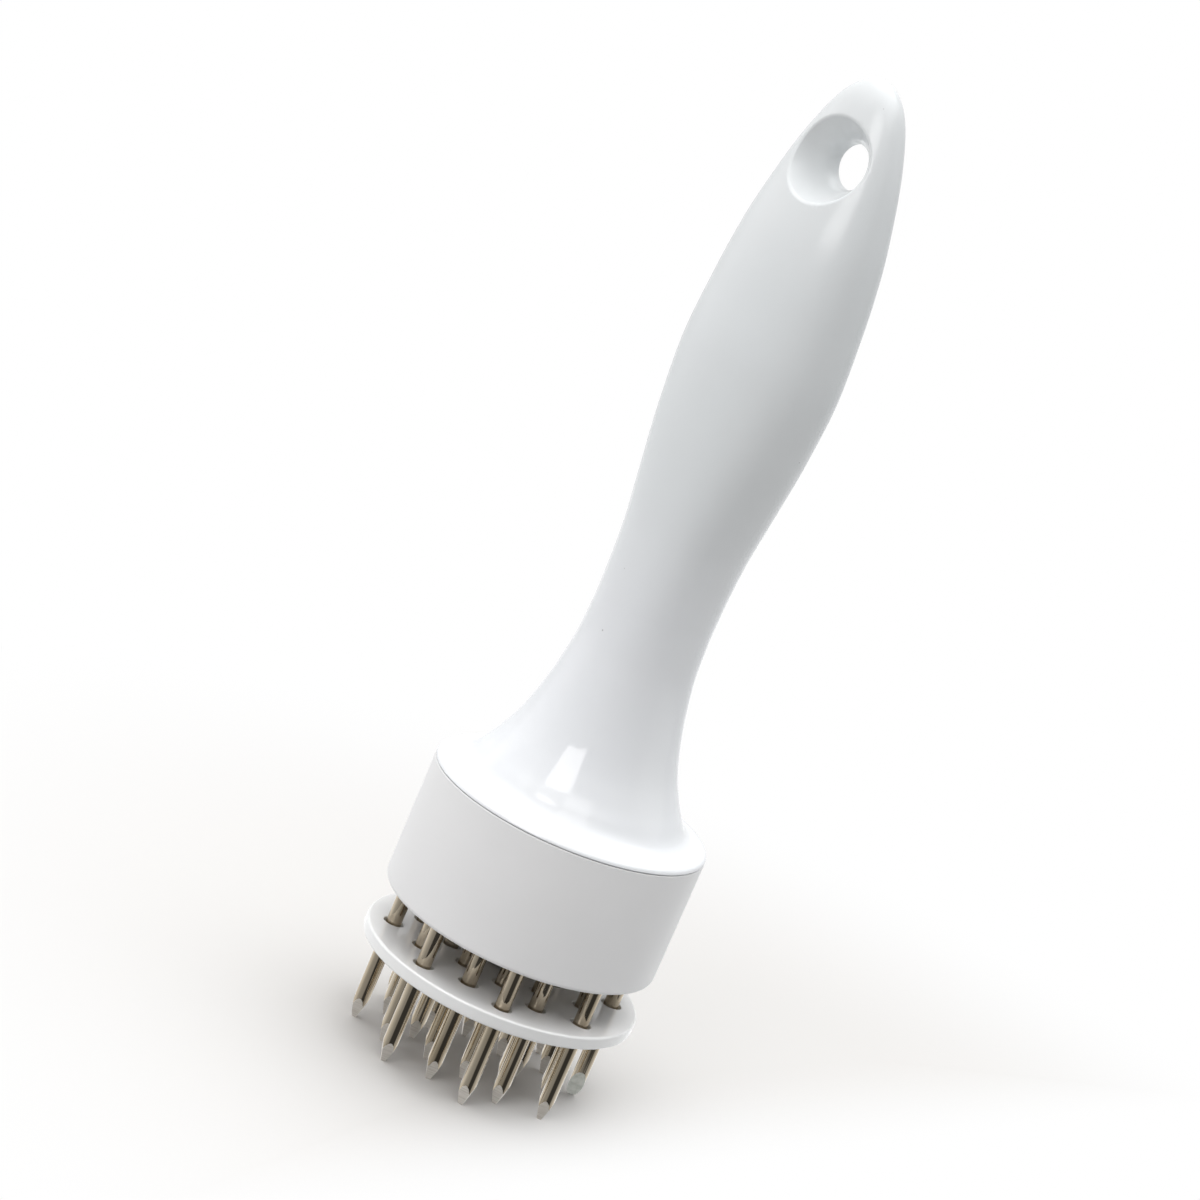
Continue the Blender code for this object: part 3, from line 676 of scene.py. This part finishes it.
class Shading:
    """A tree of nodes, with a vector that places its patterns."""

    def __init__(self, owner, place):
        owner.use_nodes = True
        self.tree = owner.node_tree
        self.place = self.node("ShaderNodeTexCoord").outputs[place]

    def set(self, node, socket, value):
        """Link a socket to a varying value, or write a constant on it."""
        if isinstance(value, Amount):
            value = value.socket
        if isinstance(value, bpy.types.NodeSocket):
            self.tree.links.new(value, node.inputs[socket])
        else:
            node.inputs[socket].default_value = value

    def node(self, kind, settings=None, sockets=None):
        made = self.tree.nodes.new(kind)
        for name, value in (settings or {}).items():
            setattr(made, name, value)
        for socket, value in (sockets or {}).items():
            self.set(made, socket, value)
        return made

    def math(self, operation, *values):
        made = self.node("ShaderNodeMath", {"operation": operation}, dict(enumerate(values)))
        return Amount(self, made.outputs[0])

    def clamped(self, amount, low, high, to_low=0.0, to_high=1.0):
        """The amount mapped from one range onto another, smoothly and without overshoot."""
        sockets = {"Value": amount, "From Min": low, "From Max": high}
        sockets.update({"To Min": to_low, "To Max": to_high})
        smooth = {"interpolation_type": "SMOOTHSTEP"}
        return Amount(self, self.node("ShaderNodeMapRange", smooth, sockets).outputs[0])

    def stretched(self, x, y, z):
        made = self.node("ShaderNodeMapping", None, {"Vector": self.place, "Scale": (x, y, z)})
        return made.outputs[0]

    def noise(self, scale, detail, place=None):
        sockets = {"Vector": place or self.place, "Scale": scale, "Detail": detail}
        return Amount(self, self.node("ShaderNodeTexNoise", None, sockets).outputs[0])

    def cells(self, scale):
        """Distance to the nearest of many scattered points, in shares of their spacing."""
        made = self.node("ShaderNodeTexVoronoi", None, {"Vector": self.place, "Scale": scale})
        return Amount(self, made.outputs["Distance"])

    def axis(self, name):
        made = self.node("ShaderNodeSeparateXYZ", None, {0: self.place})
        return Amount(self, made.outputs[name])

    def measured(self, operation, other):
        """A number worked out from the placing vector and another one."""
        sockets = {0: self.place, 1: other}
        made = self.node("ShaderNodeVectorMath", {"operation": operation}, sockets)
        return Amount(self, made.outputs["Value"])

    def facing(self, direction):
        """How far the placing vector points along a direction."""
        return self.measured("DOT_PRODUCT", direction)

    def ray(self, *kinds):
        """1 for the rays of these kinds, else 0."""
        made = self.node("ShaderNodeLightPath").outputs
        amount = Amount(self, made[f"Is {kinds[0]} Ray"])
        for kind in kinds[1:]:
            amount = self.math("MAXIMUM", amount, Amount(self, made[f"Is {kind} Ray"]))
        return amount

    def blend(self, share, one, other):
        """A shader between two others."""
        return self.node("ShaderNodeMixShader", None, {0: share, 1: one, 2: other}).outputs[0]

    def mix(self, share, one, other):
        """A colour between two others."""
        made = self.node("ShaderNodeMix", {"data_type": "RGBA"}, {0: share})
        for socket, colour in ((6, one), (7, other)):
            if not isinstance(colour, bpy.types.NodeSocket):
                colour = (*colour, 1.0)
            self.set(made, socket, colour)
        return made.outputs[2]


class Finish(Shading):
    """A material built from nodes on the piece's own coordinates."""

    def __init__(self, name, colour, roughness, **constants):
        self.material = bpy.data.materials.new(name)
        super().__init__(self.material, "Object")
        self.shader = self.tree.nodes["Principled BSDF"]
        self.set(self.shader, "Base Color", (*colour, 1.0))
        self.set(self.shader, "Roughness", roughness)
        for socket, value in constants.items():
            self.set(self.shader, socket.replace("_", " "), value)

    def bump(self, *layers):
        """Stack (height, strength, distance) layers of relief."""
        normal = None
        for height, strength, distance in layers:
            sockets = {"Height": height, "Strength": strength, "Distance": distance}
            if normal is not None:
                sockets["Normal"] = normal
            normal = self.node("ShaderNodeBump", None, sockets).outputs[0]
        self.set(self.shader, "Normal", normal)

    def paint(self, colour, roughness):
        """Put the varying colour and roughness over the plain ones."""
        self.set(self.shader, "Base Color", colour)
        self.set(self.shader, "Roughness", roughness)
        return self.material


def handle_finish():
    """White moulding, polished at the foot: flow marks, wipe marks, a few dark specks, and
    painted shade that greys the grip.
    """
    finish = Finish("handle_gloss_white", (0.80, 0.815, 0.83), 0.1, IOR=1.54)
    flow = finish.clamped(finish.noise(28.0, 3.0, finish.stretched(1.0, 1.0, 0.35)), 0.3, 0.7)
    wipes = finish.noise(140.0, 4.0, finish.stretched(1.0, 1.0, 0.2))
    speck = finish.clamped(finish.cells(230.0), 0.035, 0.06, 1.0, 0.0)
    some = finish.clamped(finish.noise(60.0, 0.0), 0.56, 0.6)
    low = finish.mix(flow, (0.845, 0.86, 0.885), (0.865, 0.875, 0.89))
    high = finish.mix(flow, (0.765, 0.79, 0.80), (0.785, 0.80, 0.805))
    # Painted shade: over these heights the colour goes from the foot's lighter tone to the grip's
    # greyer one; the same share makes the grip rougher.
    grip = finish.clamped(finish.axis("Z"), *GRIP_SHADE_HEIGHTS)
    tone = finish.mix(grip, low, high)
    marked = finish.mix(speck * some * 0.55, tone, (0.33, 0.32, 0.31))
    waves = finish.noise(55.0, 1.0)
    grain = finish.noise(1400.0, 1.0)
    finish.bump((waves, 0.25, 0.00035), (grain, 0.05, 0.00003))
    return finish.paint(marked, 0.06 + grip * 0.15 + finish.clamped(wipes, 0.35, 0.75) * 0.06)


def collar_finish():
    """Satin white moulding with a fine even grain."""
    finish = Finish("collar_satin_white", (0.84, 0.84, 0.845), 0.42, IOR=1.5)
    grain = finish.noise(2600.0, 2.0)
    shift = finish.noise(45.0, 2.0)
    tone = finish.mix(finish.clamped(shift, 0.3, 0.7), (0.89, 0.885, 0.885), (0.91, 0.905, 0.905))
    finish.bump((grain, 0.12, 0.00004), (finish.noise(70.0, 1.0), 0.1, 0.0002))
    return finish.paint(tone, 0.38 + finish.clamped(shift, 0.3, 0.8) * 0.1)


def guard_finish():
    """Gloss white moulding, with painted shade that greys its top, for the shade under the collar
    and between the needles.
    """
    finish = Finish("guard_gloss_white", (0.82, 0.83, 0.84), 0.1, IOR=1.6)
    wipes = finish.noise(160.0, 4.0)
    # Painted shade: the top face is painted greyer, standing for the shade under the collar and
    # between the needles.
    top = finish.clamped(finish.axis("Z"), GUARD_TOP - 0.2 * MM, GUARD_TOP - 0.02 * MM)
    tone = finish.mix(finish.noise(50.0, 2.0), (0.93, 0.93, 0.92), (0.95, 0.95, 0.945))
    painted_top_shade = finish.mix(finish.noise(60.0, 3.0), (0.78, 0.77, 0.76), (0.88, 0.88, 0.88))
    tone = finish.mix(top, tone, painted_top_shade)
    finish.bump((finish.noise(90.0, 1.0), 0.2, 0.0003))
    return finish.paint(tone, 0.03 + finish.clamped(wipes, 0.45, 0.8) * 0.1)


def carrier_finish():
    finish = Finish("carrier_white", (0.74, 0.74, 0.73), 0.4, IOR=1.5)
    tone = finish.mix(finish.noise(80.0, 3.0), (0.70, 0.70, 0.69), (0.78, 0.78, 0.77))
    finish.bump((finish.noise(900.0, 2.0), 0.1, 0.00005))
    return finish.paint(tone, 0.35 + finish.noise(200.0, 2.0) * 0.15)


def needle_finish():
    """Nickel-plated drawn wire: warm, faintly streaked along its length."""
    finish = Finish("needle_warm_nickel", (0.62, 0.55, 0.46), 0.16, Metallic=1.0)
    drawn = finish.noise(2400.0, 2.0, finish.stretched(1.0, 1.0, 0.012))
    patches = finish.noise(300.0, 2.0, finish.stretched(1.0, 1.0, 0.3))
    tone = finish.mix(finish.clamped(patches, 0.35, 0.75), (0.52, 0.45, 0.35), (0.43, 0.36, 0.26))
    streaked = finish.mix(finish.clamped(drawn, 0.5, 0.85) * 0.2, tone, (0.26, 0.21, 0.15))
    finish.bump((drawn, 0.03, 0.00002))
    return finish.paint(streaked, 0.08 + finish.clamped(patches, 0.45, 0.8) * 0.08)


def facet_finish():
    """The ground facets: brighter and duller, with fine lines across them."""
    finish = Finish("needle_ground_facet", (0.84, 0.79, 0.72), 0.5, Metallic=0.35)
    lines = finish.noise(1100.0, 2.0, finish.stretched(0.15, 0.15, 5.0))
    tone = finish.mix(finish.clamped(lines, 0.3, 0.8), (0.90, 0.85, 0.78), (0.74, 0.68, 0.61))
    finish.bump((lines, 0.2, 0.00002))
    return finish.paint(tone, 0.42 + lines * 0.2)


def dull_facet_finish():
    """One needle is ground to a long bevel with a dull grey scale on it."""
    finish = Finish("needle_dull_bevel", (0.93, 0.95, 0.88), 0.45, Metallic=0.6)
    scale = finish.noise(900.0, 3.0)
    tone = finish.mix(finish.clamped(scale, 0.35, 0.75), (0.97, 0.98, 0.92), (0.80, 0.82, 0.75))
    finish.bump((scale, 0.3, 0.00004))
    return finish.paint(tone, 0.5 + scale * 0.25)


def steel_finish(name, bright, dark, roughness):
    finish = Finish(name, bright, roughness, Metallic=1.0)
    clouds = finish.noise(500.0, 4.0)
    tone = finish.mix(finish.clamped(clouds, 0.3, 0.75), bright, dark)
    finish.bump((finish.noise(3000.0, 2.0), 0.15, 0.00002))
    return finish.paint(tone, roughness + clouds * 0.15)


def dress_nodes(finishes):
    """The hidden nodes keep their CAD shape and get finishes of their own."""
    for name, finish in finishes.items():
        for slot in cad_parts[name].material_slots:
            slot.material = finish


# Floor, light and camera


def from_camera(angle, reach, height):
    """A place at an angle, in degrees, around the axis, counted from the camera's right."""
    turn = math.radians(angle) + CAMERA_TURN
    return Vector((reach * math.cos(turn), reach * math.sin(turn), height))


def add_floor():
    """A white floor that keeps the shadow and turns plain white away from the object; towards the
    front right it is painted light, plain white over the shadow close to the object.
    """
    deselect()
    bpy.ops.mesh.primitive_plane_add(size=FLOOR_SIZE)
    floor = bpy.context.object
    floor.name = floor.data.name = "studio_floor"
    finish = Finish("studio_floor_white", FLOOR_COLOUR, FLOOR_ROUGHNESS)
    angle, reach = FLOOR_PATCH
    patch = from_camera(angle, reach, 0.0)
    away = finish.clamped(finish.measured("DISTANCE", patch), *FLOOR_FADE)
    # Painted light: towards the front right the floor turns plain white close to the object, over
    # its shadow.
    angle, *span = FLOOR_FRONT
    front = finish.clamped(finish.facing(from_camera(angle, 1.0, 0.0)), *span)
    away = finish.math("MAXIMUM", away, front)
    plain = finish.node("ShaderNodeEmission", None, {"Color": (1, 1, 1, 1), "Strength": 1.0})
    seen = finish.blend(finish.ray("Camera") * away, finish.shader.outputs[0], plain.outputs[0])
    bounce = finish.node("ShaderNodeBsdfDiffuse", None, {"Color": (*FLOOR_BOUNCE, 1.0)})
    lit = finish.blend(finish.ray("Diffuse"), seen, bounce.outputs[0])
    clear = finish.node("ShaderNodeBsdfTransparent")
    mixed = finish.blend(finish.ray("Glossy", "Transmission"), lit, clear.outputs[0])
    finish.set(finish.tree.nodes["Material Output"], 0, mixed)
    floor.data.materials.append(finish.material)


def add_world():
    """Soft light, brightest behind and overhead, with a dark card low at the front right."""
    world = bpy.data.worlds.new("white_studio")
    bpy.context.scene.world = world
    shading = Shading(world, "Generated")
    bright = from_camera(BRIGHT_SIDE, 1.0, BRIGHT_SIDE_RISE).normalized()
    dark = from_camera(DARK_CARD, 1.0, DARK_CARD_DROP).normalized()
    level = shading.clamped(shading.facing(bright), -1.0, 1.0) * SKY_RISE
    card = shading.clamped(shading.facing(dark), *DARK_CARD_EDGE)
    level = level + shading.clamped(shading.facing((0, 0, -1)), *GROUND_EDGE) * GROUND_LEVEL
    level = level * (1 - card * DARK_CARD_DEPTH)
    level = level + shading.clamped(shading.facing((0, 0, 1)), *ZENITH_EDGE) * ZENITH_LEVEL
    light = shading.tree.nodes["Background"]
    shading.set(light, "Color", (*SKY_COLOUR, 1.0))
    shading.set(light, "Strength", level)
    plain = shading.node("ShaderNodeBackground", None, {"Color": (1, 1, 1, 1)})
    mixed = shading.blend(shading.ray("Camera"), light.outputs[0], plain.outputs[0])
    shading.set(shading.tree.nodes["World Output"], 0, mixed)


def add_lamp(name, angle, height, reach, width, tall, power, colour):
    """An area lamp at an angle around the object and a height above it, in degrees."""
    target = Vector((0, 0, LAMP_TARGET))
    level = reach * math.cos(math.radians(height))
    place = from_camera(angle, level, LAMP_TARGET + reach * math.sin(math.radians(height)))
    bpy.ops.object.light_add(type="AREA", location=place)
    lamp = bpy.context.object
    lamp.name = lamp.data.name = name
    lamp.rotation_euler = (target - place).to_track_quat("-Z", "Y").to_euler()
    lamp.data.shape = "RECTANGLE"
    lamp.data.size = width
    lamp.data.size_y = tall
    lamp.data.energy = power
    lamp.data.color = colour


def add_camera():
    """The camera recovered from the photograph's ellipses and needle directions."""
    back, up = Vector((0, -math.cos(CAMERA_TILT), 0)), math.sin(CAMERA_TILT)
    place = (back + Vector((0, 0, up))) * CAMERA_DISTANCE
    ahead = -place.normalized()
    right = Vector((1, 0, 0))
    upward = right.cross(ahead)
    level = Matrix((right, -upward, ahead))
    half = PHOTO_SIZE / 2
    aim = Vector(((RIM_PIXEL[0] - half) / FOCAL_PIXELS, (RIM_PIXEL[1] - half) / FOCAL_PIXELS, 1))
    lean = Vector((0, 0, 1)).rotation_difference(aim.normalized()).to_matrix()
    roll = Matrix.Rotation(CAMERA_ROLL, 3, "Z")
    turn = Matrix.Rotation(CAMERA_TURN, 3, "Z")
    rows = lean @ roll @ level @ turn.transposed()
    place = turn @ place + Vector((0, 0, COLLAR_LOW))
    facing = Matrix((rows[0], -rows[1], -rows[2])).transposed().to_4x4()
    bpy.ops.object.camera_add()
    camera = bpy.context.object
    camera.name = camera.data.name = "photo_camera"
    camera.data.sensor_width = SENSOR_WIDTH
    camera.data.lens = FOCAL_PIXELS / PHOTO_SIZE * SENSOR_WIDTH
    camera.data.clip_start = CLIP_START
    camera.matrix_world = Matrix.Translation(place) @ facing
    bpy.context.scene.camera = camera


def build():
    bpy.context.scene.view_settings.view_transform = "Standard"
    add_handle(handle_finish())
    add_collar(collar_finish())
    add_guard_plate(guard_finish())
    add_needles(needle_finish(), facet_finish(), dull_facet_finish())
    plated = steel_finish("zinc_plated_steel", (0.62, 0.62, 0.61), (0.45, 0.45, 0.46), 0.28)
    spring = steel_finish("drawn_spring_wire", (0.42, 0.42, 0.43), (0.28, 0.28, 0.29), 0.3)
    hidden = dict.fromkeys(PLATED_NODES, plated)
    hidden["needle_carrier"] = carrier_finish()
    hidden["return_spring"] = spring
    dress_nodes(hidden)
    add_floor()
    add_world()
    for row in LAMPS:
        add_lamp(*row)
    add_camera()


build()
